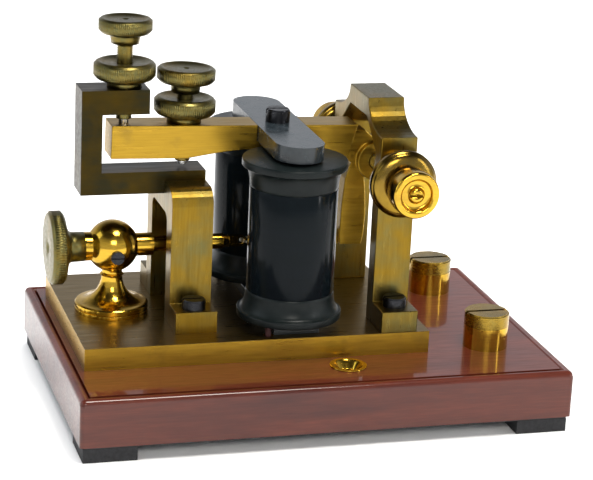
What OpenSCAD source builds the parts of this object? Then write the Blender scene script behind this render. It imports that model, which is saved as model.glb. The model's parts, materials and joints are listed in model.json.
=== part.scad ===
/* [Wooden base] */
// Length of the polished wooden base
base_l = 150; // [150:1:160]
// Depth of the wooden base, front to back
base_w = 102.4; // [102:0.2:110]
// Height of the top of the wood above the bench
base_top = 19.4; // [18:0.2:22]
// Height of the rubber feet
foot_h = 4.3; // [4:0.1:6]
// Side of a square foot
foot_w = 16; // [14:0.2:18]

/* [Brass bed plate] */
// Thickness of the bed plate
plate_t = 6.8; // [6:0.1:8]
// Left edge of the bed plate
plate_x0 = -69.7; // [-71:0.1:-69]
// Right edge of the bed plate
plate_x1 = 36.4; // [35:0.1:40]
// Half of the bed plate's depth
plate_half = 34.2; // [34:0.1:36]

/* [Mechanism] */
// Distance of the lever's mid-plane behind the middle of the base
mid_y = 6.4; // [5:0.1:8]
// Pivot axis of the lever, along the base
pivot_x = 26.3; // [26:0.1:27]
// Pivot axis of the lever, above the bench
pivot_z = 72; // [71.5:0.1:72.5]
// Slope of the lever while it rests against its upper stop, in degrees
tilt = 1.13; // [1.1:0.01:1.16]

/* [Electromagnet] */
// Place of the two coils along the base
coil_x = -4.8; // [-5:0.1:-4.6]
// Distance of each coil from the mid-plane
coil_dy = 21.4; // [21.3:0.1:21.8]
// Radius of the coil cheeks
cheek_r = 15.85; // [15:0.05:15.9]
// Radius of the coil cover between the cheeks
cover_r = 13.35; // [13:0.05:13.6]
// Top of the coil cheeks above the bench
coil_top = 78.5; // [78:0.1:78.6]

/* [Adjusters] */
// Place of the ball post along the base
post_x = -55.2; // [-56:0.1:-55]
// Height of the spring adjuster's axis
rod_z = 46.6; // [46:0.1:47]
// Radius of the knurled tension nut
knob_r = 11; // [10:0.1:11.5]
// Place of the upper stop screw along the base
stop_x = -52.6; // [-53:0.1:-52]
// Radius of a stop screw's lock nut
nut_r = 9.1; // [8.5:0.1:9.2]

/* [Terminals and fixing] */
// Place of the two terminals along the base
term_x = 56.1; // [54:0.1:60]
// Radius of a terminal
term_r = 6.85; // [6:0.05:8]
// Place of the fixing ferrule along the base
ferrule_x = 8.6; // [0:0.1:12]
// Distance of the ferrule in front of the middle of the base
ferrule_y = -35.4; // [-40:0.1:-35]
// Radius of the hole through the ferrule
ferrule_hole_r = 2.6; // [2:0.1:3]

/* [Hidden] */

$fn = 64;
fit = 0.05;        // radial clearance of a screw or shaft in its hole
gap = 0.05;        // clearance between two pieces that turn against each other
cut = 1;           // overrun of a cutting shape

// wooden base
cover_t = 0.7;
wood_z = foot_h + cover_t;
wood_corner_r = 1.2;
bead_r = 1.7;
bead_in = 3.4;                       // width of the bead and its groove
foot_in = 1;
foot_x = base_l/2 - foot_in - foot_w/2;
foot_y = base_w/2 - foot_in - foot_w/2;
foot_screw_r = 1.9;
foot_screw_l = 12;

// bed plate
plate_z = base_top + plate_t;
plate_screw_r = 2;
plate_screw_at = [[-64, -29], [-64, 29], [14, -17], [14, 17]];  // x, and distance from the mid-plane
plate_screw_grip = 4;
head_pocket = 3.2;

// anvil bridge, an arch that carries the anvil frame
anvil_x0 = -40.8;
anvil_x1 = -28.1;
anvil_foot = 25.8;
anvil_foot_top = 32.8;
anvil_leg = 17;
anvil_inner = 10.4;
anvil_top = 68;
anvil_ceiling = 59;
anvil_round = 5;
anvil_screw_dy = 21.4;

// anvil frame, a C that holds the stops
frame_x0 = -66.3;
frame_x1 = -45.8;
frame_back = 6.3;
frame_half = 5.5;
frame_z0 = 64.2;
frame_z1 = 96.2;
frame_low = 71;
frame_up = 88.8;
frame_screw_x = [-37.6, -31.4];

// pivot bridge
bridge_x0 = 21;
bridge_x1 = 32.4;
bridge_foot_top = 32.8;
bridge_leg = 24.2;
bridge_inner = 18.4;
bridge_top_half = 9.5;
bridge_top = 93.3;
bridge_shoulder = 84.5;
bridge_ceiling = 87.4;
bridge_ceiling_half = 8.4;
bridge_haunch = 79;
bridge_screw_dy = 28;

// cheese-head screws that hold the bridges down
cheese_r = 3.6;
cheese_h = 3;
cheese_shank_r = 2;

// pivot screws
pivot_shank_r = 3.5;
pivot_tip = 14;                      // distance of the screw's point from the mid-plane
pivot_cup = 2.2;
pivot_cup_r = 1.364;
pivot_head_at = 36;
pivot_head_end = 44;
axle_r = 2.5;

// electromagnet
yoke_z = plate_z + 3.3;
yoke_half_x = 7.2;
yoke_end = 9.5;
cheek_t = 2.3;
cove_h = 6;
core_r = 4.9;
core_top = coil_top + 0.1;
cover_t_wall = 0.6;
lead_r = 0.9;
lead_x = coil_x - 8.6;
lead_dy = coil_dy + 9;
wire_z = 6.8;

// spring adjuster
ball_r = 8;
rod_r = 3.55;
rod_thin_r = 2.4;
boss_x = post_x - 8.8;
knob_x0 = -75;
knob_x1 = -70.2;
rod_eye_x = -15;
spring_r = 2.7;
wire_r = 0.45;
loop_r = 2.4;
spring_turns = 15;
arm_eye = [-12.6, pivot_z - rod_z];  // eye of the drop arm: ahead of and below the pivot

// lever, in its own frame: origin at the pivot, X along the bar
bar_x0 = -83.6;
bar_top = 11.7;
bar_bottom = 1.55;
bar_half = 5.3;
arm_half = 3.4;
hub_r = 6.2;
arm_x = coil_x - pivot_x - 0.2;      // the armature's middle
armature_half_x = 7.5;
armature_half_y = 32.3;
armature_t = 4.9;
lever_stop_x = -60.6;
lever_stop_end = -1.25;

// stop screws
stop_shank_r = 2.4;
tip_r = 1.5;
stop_top = 117;
upper_tip_z = 85.32;

// terminals
term_y = [-24.3, 29.1];
term_split = 26.4;
term_top = 30.6;
term_stud_r = 2.2;
wire_stop = 5.8;
ferrule_r = 5.6;
ferrule_body_r = 4.9;
ferrule_top = base_top + 0.45;
ferrule_sink = 2.4;

// ---- shared shapes ----
module rounded_slab(l, w, z0, z1, r)
    translate([0, 0, z0]) linear_extrude(z1 - z0) union() {
        square([l - 2*r, w], center = true);
        square([l, w - 2*r], center = true);
        for (x = [-1, 1], y = [-1, 1]) translate([x*(l/2 - r), y*(w/2 - r)]) circle(r);
    }
module rod_z(r, z0, z1) translate([0, 0, z0]) cylinder(r = r, h = z1 - z0);
module cone_z(ra, rb, z0, z1) translate([0, 0, z0]) cylinder(r1 = ra, r2 = rb, h = z1 - z0);
module along_x() rotate([0, 90, 0]) children();
module towards_front() rotate([90, 0, 0]) children();
module at_pivot() translate([pivot_x, mid_y, pivot_z]) rotate([0, tilt, 0]) children();
module both_sides(dy) for (s = [-1, 1]) translate([0, mid_y + s*dy, 0]) children();
// an outline in the Y-Z plane, drawn for one half and mirrored about the mid-plane, from x0 to x1
module arch(x0, x1, half)
    translate([x0, mid_y, 0]) rotate([90, 0, 90]) linear_extrude(x1 - x0)
        polygon(concat(half, [for (i = [len(half) - 2:-1:1]) [-half[i][0], half[i][1]]]));
function arc(cx, cz, rx, rz, a0, a1, n) =
    [for (i = [0:n]) let (a = a0 + (a1 - a0)*i/n) [cx + rx*cos(a), cz + rz*sin(a)]];
module screw_slot(r, z, w, d) translate([-r - cut, -w/2, z - d]) cube([2*r + 2*cut, w, d + cut]);
// a slotted cheese-head screw that points down, its head resting on z
module cheese_screw(z, shank_end)
    difference() {
        union() {
            rod_z(cheese_r - 0.3, z + cheese_h - 0.4, z + cheese_h);
            rod_z(cheese_r, z, z + cheese_h - 0.4);
            rod_z(cheese_shank_r, shank_end, z + 0.1);
        }
        screw_slot(cheese_r, z + cheese_h, 0.9, 1.3);
    }
// a turned lock nut: a neck, a cone and a knurled rim with a dished top
module lock_nut(r, bore_r)
    rotate_extrude() polygon([[bore_r, 0], [5.2, 0], [5.3, 1.4], [r - 1.7, 2.4], [r - 0.5, 3], [r, 3.5],
        [r, 7], [r - 0.5, 7.6], [r - 1.4, 7.8], [r - 2.2, 7.4], [bore_r + 1.2, 7.4], [bore_r, 7]]);
// a knurled screw head: neck, cone, rim and dished top; h is its height
module knurled_head(neck_r, r, h)
    rotate_extrude() polygon([[0, 0], [neck_r, 0], [neck_r + 0.3, 0.3*h], [r - 1.7, 0.39*h],
        [r - 0.5, 0.46*h], [r, 0.53*h], [r, 0.93*h], [r - 0.5, h], [r - 1.3, h], [r - 2, h - 0.4], [0.9, h - 0.4],
        [0.6, h - 0.9], [0, h - 0.9]]);
module feet_places() for (x = [-1, 1], y = [-1, 1]) translate([x*foot_x, y*foot_y, 0]) children();
module plate_screw_places() for (p = plate_screw_at) translate([p[0], mid_y + p[1], 0]) children();
module anvil_screw_places() both_sides(anvil_screw_dy) translate([(anvil_x0 + anvil_x1)/2, 0, 0]) children();
module bridge_screw_places() both_sides(bridge_screw_dy) translate([(bridge_x0 + bridge_x1)/2, 0, 0])
    children();
module lead_places() for (s = [-1, 1]) translate([lead_x, mid_y + s*lead_dy, 0]) children();
module coil_places(s) translate([coil_x, mid_y + s*coil_dy, 0]) children();
module terminal_places(y) translate([term_x, y, 0]) children();
module tube(path, r, sides) {
    n = len(path);
    ring = [for (k = [0:n - 1])
        let (t = path[min(k + 1, n - 1)] - path[max(k - 1, 0)], u = t/norm(t),
             a = cross(u, abs(u[2]) < 0.9 ? [0, 0, 1] : [1, 0, 0]), p = a/norm(a), q = cross(u, p))
        for (j = [0:sides - 1]) path[k] + r*(p*cos(360*j/sides) + q*sin(360*j/sides))];
    walls = [for (k = [0:n - 2], j = [0:sides - 1])
        let (j2 = (j + 1) % sides) [k*sides + j, (k + 1)*sides + j, (k + 1)*sides + j2, k*sides + j2]];
    polyhedron(ring, concat([[for (j = [0:sides - 1]) j]], walls,
        [[for (j = [sides - 1:-1:0]) (n - 1)*sides + j]]));
}

// ---- base ----
module wood_base() color("sienna") difference() {
    union() {
        rounded_slab(base_l, base_w, wood_z, base_top - bead_r, wood_corner_r);
        rounded_slab(base_l - 2*bead_in, base_w - 2*bead_in, base_top - bead_r - 0.5, base_top, 0.5);
        for (y = [-1, 1]) translate([-base_l/2 + bead_r, y*(base_w/2 - bead_r), base_top - bead_r])
            along_x() cylinder(r = bead_r, h = base_l - 2*bead_r);
        for (x = [-1, 1]) translate([x*(base_l/2 - bead_r), base_w/2 - bead_r, base_top - bead_r])
            towards_front() cylinder(r = bead_r, h = base_w - 2*bead_r);
        for (x = [-1, 1], y = [-1, 1])
            translate([x*(base_l/2 - bead_r), y*(base_w/2 - bead_r), base_top - bead_r]) sphere(bead_r);
    }
    feet_places() rod_z(foot_screw_r - 0.1, wood_z - cut, foot_screw_l);
    plate_screw_places() {
        rod_z(plate_screw_r + 0.2, wood_z - cut, base_top + cut);
        rod_z(4.4, wood_z - cut, wood_z + head_pocket + 1);
    }
    for (s = [-1, 1]) coil_places(s) rod_z(4.6, base_top - head_pocket, base_top + cut);
    translate([post_x, mid_y, 0]) rod_z(4.6, base_top - head_pocket, base_top + cut);
    for (y = term_y) terminal_places(y) {
        rod_z(term_stud_r + 0.2, wood_z - cut, base_top + cut);
        rod_z(5.6, wood_z - cut, wood_z + 4.2);
    }
    translate([ferrule_x, ferrule_y, 0]) rod_z(ferrule_body_r, wood_z - cut, base_top + cut);
    for (s = [-1, 1]) {
        translate([lead_x, mid_y + s*lead_dy, 0]) rod_z(lead_r + 0.6, wood_z - cut, base_top + cut);
        wire_run(s) translate([-1.8, -1.8, -wire_z + wood_z - cut])
            cube([wire_length(s) + 3.6, 3.6, 3.4 + cut]);
    }
}
function wire_dy(s) = (s < 0 ? term_y[0] : term_y[1]) - (mid_y + s*lead_dy);
function wire_length(s) = norm([term_x - wire_stop - lead_x, wire_dy(s)]);
module wire_run(s) translate([lead_x, mid_y + s*lead_dy, wire_z])
    rotate([0, 0, atan2(wire_dy(s), term_x - wire_stop - lead_x)]) children();
module bottom_cover() color("black") difference() {
    rounded_slab(base_l - 2, base_w - 2, foot_h, wood_z, wood_corner_r);
    feet_places() rod_z(foot_screw_r, foot_h - cut, wood_z + cut);
    translate([ferrule_x, ferrule_y, 0]) rod_z(ferrule_body_r, foot_h - cut, wood_z + cut);
}
module feet() color("black") feet_places() difference() {
    translate([-foot_w/2, -foot_w/2, 0]) cube([foot_w, foot_w, foot_h]);
    rod_z(foot_screw_r, -cut, foot_h + cut);
    rod_z(4, -cut, 2.2);
}
module feet_screws() color("dimgray") feet_places() difference() {
    union() {
        rod_z(3.6, 0.5, 2.2);
        rod_z(foot_screw_r - 0.1, 2.1, foot_screw_l - 0.5);
    }
    translate([-3.7, -0.5, 0.3]) cube([7.4, 1, 1]);
}
module bed_plate() color("goldenrod") difference() {
    translate([plate_x0, mid_y - plate_half, base_top]) cube([plate_x1 - plate_x0, 2*plate_half, plate_t]);
    plate_screw_places() rod_z(plate_screw_r, base_top - cut, base_top + plate_screw_grip);
    anvil_screw_places() rod_z(cheese_shank_r, base_top + 1, plate_z + cut);
    bridge_screw_places() rod_z(cheese_shank_r, base_top + 1, plate_z + cut);
    for (s = [-1, 1]) coil_places(s) rod_z(2.3, base_top - cut, plate_z + cut);
    translate([post_x, mid_y, 0]) rod_z(2.3, base_top - cut, plate_z + cut);
    lead_places() rod_z(lead_r + 0.7, base_top - cut, plate_z + cut);
}
module bed_plate_screws() color("dimgray") plate_screw_places() difference() {
    union() {
        rod_z(3.9, wood_z + head_pocket - 1.8, wood_z + head_pocket + 1);
        rod_z(plate_screw_r, wood_z + head_pocket, base_top + plate_screw_grip - 0.3);
    }
    translate([-4, -0.5, wood_z + head_pocket - 2]) cube([8, 1, 1.2]);
}

// ---- anvil ----
module anvil_bridge() color("darkgoldenrod") difference() {
    arch(anvil_x0, anvil_x1, concat([[0, anvil_ceiling], [anvil_inner - 3, anvil_ceiling]],
        arc(anvil_inner - 3, anvil_ceiling - 3, 3, 3, 75, 0, 5),
        [[anvil_inner, plate_z], [anvil_foot, plate_z],
        [anvil_foot, anvil_foot_top], [anvil_leg, anvil_foot_top]],
        arc(anvil_leg - anvil_round, anvil_top - anvil_round, anvil_round, anvil_round, 0, 90, 8),
        [[0, anvil_top]]));
    translate([anvil_x0 - cut, mid_y - frame_half, frame_z0]) cube([20, 2*frame_half, 10]);
    anvil_screw_places() rod_z(cheese_shank_r, plate_z - cut, anvil_foot_top + cut);
    for (x = frame_screw_x) translate([x, mid_y, 0]) {
        rod_z(1.6, anvil_ceiling - cut, frame_z0 + cut);
        rod_z(3, anvil_ceiling - cut, anvil_ceiling + 1.8);
    }
}
module anvil_bridge_screws() color("#202020") both_sides(anvil_screw_dy)
    translate([(anvil_x0 + anvil_x1)/2, 0, 0]) cheese_screw(anvil_foot_top, base_top + 1.2);
module anvil_frame() color("darkolivegreen") difference() {
    translate([0, mid_y + frame_half, 0]) towards_front() linear_extrude(2*frame_half)
        polygon([[frame_x0, frame_z0], [anvil_x1, frame_z0], [anvil_x1, frame_low],
            [frame_x0 + frame_back, frame_low], [frame_x0 + frame_back, frame_up],
            [frame_x1, frame_up], [frame_x1, frame_z1], [frame_x0, frame_z1]]);
    translate([stop_x, mid_y, 0]) rod_z(stop_shank_r + fit, frame_up - cut, frame_z1 + cut);
    for (x = frame_screw_x) translate([x, mid_y, 0]) rod_z(1.6, frame_z0 - cut, frame_low - 1.5);
}
module anvil_frame_screws() color("dimgray") for (x = frame_screw_x) translate([x, mid_y, 0]) difference() {
    union() {
        rod_z(2.9, anvil_ceiling + 0.2, anvil_ceiling + 1.8);
        rod_z(1.6, anvil_ceiling + 1.7, frame_low - 1.7);
    }
    translate([-3, -0.4, anvil_ceiling]) cube([6, 0.8, 0.9]);
}

// ---- pivot bridge, pivot screws ----
module pivot_bridge() color("darkgoldenrod") difference() {
    arch(bridge_x0, bridge_x1, concat([[0, bridge_ceiling], [bridge_ceiling_half, bridge_ceiling],
        [bridge_inner, bridge_haunch], [bridge_inner, plate_z], [plate_half, plate_z],
        [plate_half, bridge_foot_top], [bridge_leg, bridge_foot_top]],
        arc(bridge_leg, bridge_top, bridge_leg - bridge_top_half, bridge_top - bridge_shoulder,
            270, 180, 10),
        [[0, bridge_top]]));
    bridge_screw_places() rod_z(cheese_shank_r, plate_z - cut, bridge_foot_top + cut);
    translate([pivot_x, mid_y + bridge_leg + cut, pivot_z]) towards_front()
        cylinder(r = pivot_shank_r + fit, h = 2*bridge_leg + 2*cut);
}
module pivot_bridge_screws() color("#202020") both_sides(bridge_screw_dy)
    translate([(bridge_x0 + bridge_x1)/2, 0, 0]) cheese_screw(bridge_foot_top, base_top + 1.2);
// s is -1 for the front and 1 for the rear; z runs outwards along the pivot axis
module on_pivot_axis(s) translate([pivot_x, mid_y, pivot_z]) rotate([-90*s, 0, 0]) children();
module pivot_screw(s) on_pivot_axis(s) difference() {
    rotate_extrude() polygon([[0, pivot_tip], [1.9, pivot_tip], [pivot_shank_r, pivot_tip + 1.6],
        [pivot_shank_r, pivot_head_at - 2], [4.6, pivot_head_at - 1], [5.6, pivot_head_at],
        [7.1, pivot_head_at + 1.6], [7.1, pivot_head_end - 1.4], [6.4, pivot_head_end - 0.3],
        [5.2, pivot_head_end - 0.2], [4.4, pivot_head_end - 1.4],
        [2.4, pivot_head_end - 1.4], [1.6, pivot_head_end - 0.4], [0, pivot_head_end]]);
    cone_z(pivot_cup_r, 0, pivot_tip - 0.01, pivot_tip + pivot_cup);
}
module pivot_lock_nut(s) on_pivot_axis(s) rotate_extrude() polygon(concat(
    [[pivot_shank_r + fit, bridge_leg + gap], [7, bridge_leg + gap],
    [7, bridge_leg + 1.4], [9.4, bridge_leg + 4],
    [10.3, bridge_leg + 5.2], [10.3, bridge_leg + 7.2]],
    arc(5.6, bridge_leg + 7.2, 4.4, 2.4, 0, 80, 6), [[pivot_shank_r + fit, bridge_leg + 9.4]]));
module front_pivot_screw() color("gold") pivot_screw(-1);
module rear_pivot_screw() color("gold") pivot_screw(1);
module front_pivot_lock_nut() color("goldenrod") pivot_lock_nut(-1);
module rear_pivot_lock_nut() color("goldenrod") pivot_lock_nut(1);

// ---- electromagnet ----
module bobbin(s) coil_places(s) rotate_extrude() polygon(concat(
    [[core_r, yoke_z], [cheek_r - 0.4, yoke_z], [cheek_r, yoke_z + 0.5], [cheek_r, yoke_z + cheek_t]],
    arc(cheek_r, yoke_z + cheek_t + cove_h, cheek_r - cover_r, cove_h, 270, 180, 6),
    [[cover_r - cover_t_wall, yoke_z + cheek_t + cove_h], [core_r + 0.8, yoke_z + cheek_t + cove_h],
    [core_r + 0.8, coil_top - cheek_t - cove_h], [cover_r - cover_t_wall, coil_top - cheek_t - cove_h]],
    arc(cheek_r, coil_top - cheek_t - cove_h, cheek_r - cover_r, cove_h, 180, 90, 6),
    [[cheek_r, coil_top - 0.5], [cheek_r - 0.5, coil_top], [core_r, coil_top]]));
module winding(s) coil_places(s) difference() {
    rod_z(cover_r - cover_t_wall - 0.3, yoke_z + cheek_t + cove_h, coil_top - cheek_t - cove_h);
    rod_z(core_r + 0.8, yoke_z, coil_top);
}
module coil_cover(s) coil_places(s) difference() {
    rod_z(cover_r, yoke_z + cheek_t + cove_h, coil_top - cheek_t - cove_h);
    rod_z(cover_r - cover_t_wall, yoke_z, coil_top);
}
module core(s) coil_places(s) difference() {
    rod_z(core_r, yoke_z, core_top);
    rod_z(2, yoke_z - cut, yoke_z + 9);
}
module front_bobbin() color("#1c2022") bobbin(-1);
module rear_bobbin() color("#1c2022") bobbin(1);
module front_winding() color("darkred") winding(-1);
module rear_winding() color("darkred") winding(1);
module front_coil_cover() color("#101418") coil_cover(-1);
module rear_coil_cover() color("#101418") coil_cover(1);
module front_core() color("gray") core(-1);
module rear_core() color("gray") core(1);
module yoke() color("#26282a") difference() {
    translate([coil_x - yoke_half_x, mid_y - coil_dy - yoke_end, plate_z])
        cube([2*yoke_half_x, 2*(coil_dy + yoke_end), yoke_z - plate_z]);
    for (s = [-1, 1]) coil_places(s) rod_z(2.3, plate_z - cut, yoke_z + cut);
    lead_places() rod_z(lead_r + 0.7, plate_z - cut, yoke_z + cut);
}
module yoke_screws() color("dimgray") for (s = [-1, 1]) coil_places(s) difference() {
    union() {
        rod_z(4, base_top - 2.6, base_top);
        rod_z(2, base_top - 0.1, yoke_z + 8.5);
    }
    translate([-4.1, -0.5, base_top - 3]) cube([8.2, 1, 1.4]);
}
module coil_leads() color("#6a1a16") lead_places() rod_z(lead_r, wire_z, yoke_z);
module base_wires() color("#6a1a16") for (s = [-1, 1]) wire_run(s)
    translate([lead_r + 0.1, 0, 0]) along_x() cylinder(r = lead_r, h = wire_length(s) - 0.2);

// ---- spring adjuster ----
module ball_post() color("gold") difference() {
    union() {
        translate([post_x, mid_y, 0]) {
            rotate_extrude() polygon(concat(
                [[0, plate_z], [11.2, plate_z], [11.2, plate_z + 1], [10.8, plate_z + 1.2],
                [11.2, plate_z + 1.4], [11.2, plate_z + 2.5], [10.8, plate_z + 2.9]],
                arc(10.8, plate_z + 11, 7.6, 8.1, 270, 180, 8),
                [[3.7, plate_z + 11.5], [3.1, plate_z + 12.1], [3.1, plate_z + 14], [0, plate_z + 14]]));
            translate([0, 0, rod_z]) sphere(ball_r);
        }
        translate([boss_x, mid_y, rod_z]) along_x() cylinder(r = 4.4, h = 4);
    }
    translate([boss_x - cut, mid_y, rod_z]) along_x() cylinder(r = rod_r + fit, h = 20);
    translate([post_x, mid_y, 0]) rod_z(2, plate_z - cut, plate_z + 9);
    translate([post_x, mid_y - rod_r + 1, rod_z - 1.4]) towards_front() cylinder(r = 1.3 + fit, h = ball_r);
}
module ball_post_screw() color("dimgray") translate([post_x, mid_y, 0]) difference() {
    union() {
        rod_z(4, base_top - 2.6, base_top);
        rod_z(2, base_top - 0.1, plate_z + 8.5);
    }
    translate([-4.1, -0.5, base_top - 3]) cube([8.2, 1, 1.4]);
}
module clamp_screw() color("#303028") translate([post_x, mid_y, rod_z - 1.4]) towards_front() difference() {
    union() {
        rod_z(1.3, rod_r + 0.1, ball_r - 0.2);
        rod_z(2, ball_r + gap, ball_r + 1.1);
        rod_z(1.3, ball_r - 0.3, ball_r + 0.2);
    }
    screw_slot(2, ball_r + 1.1, 0.6, 0.6);
}
module tension_nut() color("goldenrod") translate([0, mid_y, rod_z]) difference() {
    translate([knob_x0, 0, 0]) along_x() rotate_extrude() polygon([
        [0, 0.5], [1.4, 0.5], [2, 0], [knob_r - 0.7, 0], [knob_r, 0.7],
        [knob_r, knob_x1 - knob_x0 - 0.7], [knob_r - 0.7, knob_x1 - knob_x0], [6.6, knob_x1 - knob_x0],
        [6, knob_x1 - knob_x0 + 1.2], [4.7, knob_x1 - knob_x0 + 2.4], [4.5, boss_x - gap - knob_x0],
        [0, boss_x - gap - knob_x0]]);
    translate([knob_x0 + 1.6, 0, 0]) along_x() cylinder(r = rod_thin_r + fit, h = 12);
}
module tension_rod() color("goldenrod") translate([0, mid_y, rod_z]) difference() {
    union() {
        translate([-72.4, 0, 0]) along_x() cylinder(r = rod_thin_r, h = 10);
        translate([-62.6, 0, 0]) along_x() cylinder(r = rod_r, h = 19.6);
        translate([-43.1, 0, 0]) along_x() cylinder(r = rod_thin_r, h = rod_eye_x - 6 + 43.1);
        translate([rod_eye_x - 6.2, 0, 0]) along_x() cylinder(r1 = rod_thin_r, r2 = 1.7, h = 2.4);
        translate([rod_eye_x - 4, -0.8, -1.7]) cube([4, 1.6, 3.4]);
        translate([rod_eye_x, 0.8, 0]) towards_front() cylinder(r = 1.7, h = 1.6);
    }
    translate([rod_eye_x, 2, 0]) towards_front() cylinder(r = 1.1, h = 4);
}
// helical spring with an open loop at each end, from the rod's eye to the lever's eye
function loop_points(cx, a0, a1, n) = [for (i = [0:n]) let (a = a0 + (a1 - a0)*i/n)
    [cx + loop_r*cos(a), mid_y + loop_r*sin(a), rod_z]];
module tension_spring() color("#8a8a80") {
    x0 = rod_eye_x + loop_r;
    x1 = pivot_x + arm_eye[0] - loop_r;
    h0 = x0 + loop_r + 1.4;
    h1 = x1 - loop_r - 1.4;
    steps = spring_turns*12;
    helix = [for (i = [0:steps]) let (a = 360*spring_turns*i/steps)
        [h0 + (h1 - h0)*i/steps, mid_y + spring_r*cos(a), rod_z + spring_r*sin(a)]];
    tube(concat(loop_points(x0, -110, -360, 10), [[x0 + loop_r + 0.5, mid_y + 0.8, rod_z]], helix,
        [[x1 - loop_r - 0.5, mid_y + 0.8, rod_z]], loop_points(x1, 180, -70, 10)), wire_r, 6);
}

// ---- lever ----
module plate_y(half) rotate([90, 0, 0]) translate([0, 0, -half]) linear_extrude(2*half) children();
module lever() color("gold") at_pivot() difference() {
    union() {
        plate_y(bar_half) polygon(concat([[bar_x0, bar_top], [bar_x0, bar_bottom], [-66, bar_bottom]],
            [for (i = [0:12]) let (x = -60 + 50*i/12) [x, bar_bottom + 2.9*sin(180*(x + 60)/50)]],
            [[-9.7, bar_bottom], [-7.1, bar_top]]));
        plate_y(arm_half) polygon([[-12, bar_bottom + 0.5], [-12, bar_top - 1.5], [-4, 9.5], [0, hub_r],
            [0, -4], [-4, -3.5]]);
        rotate([90, 0, 0]) cylinder(r = hub_r, h = 2*bar_half, center = true);
        plate_y(arm_half) polygon([[-7.6, 0], [-9.4, -6], [-9.9, -14], [-10, -24], [-9.6, -27.2], [-2.6, -27.2],
            [-2.1, -24], [-1.9, -17.5], [-2.6, -10], [-3.6, -2]]);
        translate([arm_eye[0], 0.8, -arm_eye[1]]) rotate([90, 0, 0]) cylinder(r = 2.4, h = 1.6);
        translate([arm_eye[0], -0.8, -arm_eye[1] - 2.4]) cube([4, 1.6, 4.8]);
    }
    rotate([90, 0, 0]) cylinder(r = axle_r, h = 20, center = true);
    translate([arm_eye[0], 2, -arm_eye[1]]) rotate([90, 0, 0]) cylinder(r = 1.7, h = 4);
    translate([arm_x - armature_half_x, -bar_half - cut, bar_top - armature_t])
        cube([2*armature_half_x, 2*bar_half + 2*cut, armature_t + cut]);
    translate([arm_x, 0, 0]) rod_z(1.8, 0, bar_top);
    translate([lever_stop_x, 0, 0]) rod_z(stop_shank_r + fit, 0, bar_top + cut);
}
module lever_axle() color("silver") at_pivot() rotate([90, 0, 0]) rotate_extrude() polygon([
    [0, -pivot_tip - 1.6], [0.95, -pivot_tip], [1.2, -pivot_tip + 0.4], [axle_r, -pivot_tip + 2.4],
    [axle_r, pivot_tip - 2.4], [1.2, pivot_tip - 0.4], [0.95, pivot_tip], [0, pivot_tip + 1.6]]);
module armature() color("#202428") at_pivot() difference() {
    translate([arm_x, 0, bar_top - armature_t]) union() {
        translate([-armature_half_x, -armature_half_y + armature_half_x, 0])
            cube([2*armature_half_x, 2*(armature_half_y - armature_half_x), armature_t]);
        for (s = [-1, 1]) translate([0, s*(armature_half_y - armature_half_x), 0])
            cylinder(r = armature_half_x, h = armature_t);
    }
    translate([arm_x, 0, 0]) rod_z(1.8, 0, bar_top + cut);
}
module armature_screw() color("#181818") at_pivot() translate([arm_x, 0, bar_top]) difference() {
    union() {
        rod_z(3.7, 0, 3.6);
        rod_z(3.4, 3.5, 4);
        rod_z(1.8, -armature_t - 2, 0.1);
    }
    screw_slot(3.7, 4, 0.9, 1.6);
}

// ---- stop screws ----
module stop_screw(z_end, z_neck, z_top, head_r) difference() {
    union() {
        rod_z(stop_shank_r, z_end, z_neck + 0.1);
        translate([0, 0, z_neck]) knurled_head(4.2, head_r, z_top - z_neck);
    }
    rod_z(tip_r + fit, z_end - cut, z_end + 4);
}
module lever_stop_screw() color("darkgoldenrod") at_pivot() translate([lever_stop_x, 0, 0])
    stop_screw(lever_stop_end + 1.1, bar_top + 9.2, 28.6, 8.6);
module lever_stop_tip() color("silver") at_pivot() translate([lever_stop_x, 0, 0])
    rod_z(tip_r, lever_stop_end, lever_stop_end + 4.9);
module lever_stop_lock_nut() color("darkgoldenrod") at_pivot() translate([lever_stop_x, 0, bar_top + gap])
    lock_nut(nut_r, stop_shank_r + fit);
module upper_stop_screw() color("darkgoldenrod") translate([stop_x, mid_y, 0])
    stop_screw(upper_tip_z + 1.2, 109.4, stop_top, 7.8);
module upper_stop_tip() color("silver") translate([stop_x, mid_y, 0]) rod_z(tip_r, upper_tip_z, upper_tip_z + 5);
module upper_stop_lock_nut() color("darkgoldenrod") translate([stop_x, mid_y, frame_z1 + gap])
    lock_nut(nut_r, stop_shank_r + fit);

// ---- terminals and fixing ----
module terminal(y) terminal_places(y) difference() {
    union() {
        rod_z(term_r, base_top, term_split);
        rod_z(term_stud_r, wood_z + 0.6, base_top + 0.1);
    }
    rod_z(2 + fit, base_top + 1, term_split + cut);
}
module terminal_screw(y) terminal_places(y) difference() {
    union() {
        rod_z(term_r, term_split + gap, term_top - 0.4);
        rod_z(term_r - 0.4, term_top - 0.5, term_top);
        rod_z(2, base_top + 1.6, term_split + 0.2);
    }
    screw_slot(term_r, term_top, 1.3, 1.8);
}
module front_terminal() color("gold") terminal(term_y[0]);
module rear_terminal() color("gold") terminal(term_y[1]);
module front_terminal_screw() color("goldenrod") terminal_screw(term_y[0]);
module rear_terminal_screw() color("goldenrod") terminal_screw(term_y[1]);
module terminal_nuts() color("gold") for (y = term_y) terminal_places(y) difference() {
    translate([0, 0, wood_z + 1.2]) cylinder(r = 5, h = 3, $fn = 6);
    rod_z(term_stud_r, wood_z, wood_z + 6);
}
module fixing_ferrule() color("gold") translate([ferrule_x, ferrule_y, 0]) difference() {
    union() {
        rod_z(ferrule_body_r, wood_z, base_top + 0.1);
        rod_z(ferrule_r, base_top, ferrule_top);
    }
    rod_z(ferrule_hole_r, wood_z - cut, ferrule_top);
    cone_z(ferrule_hole_r, ferrule_r - 1.2, ferrule_top - ferrule_sink, ferrule_top + 0.01);
}

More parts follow.
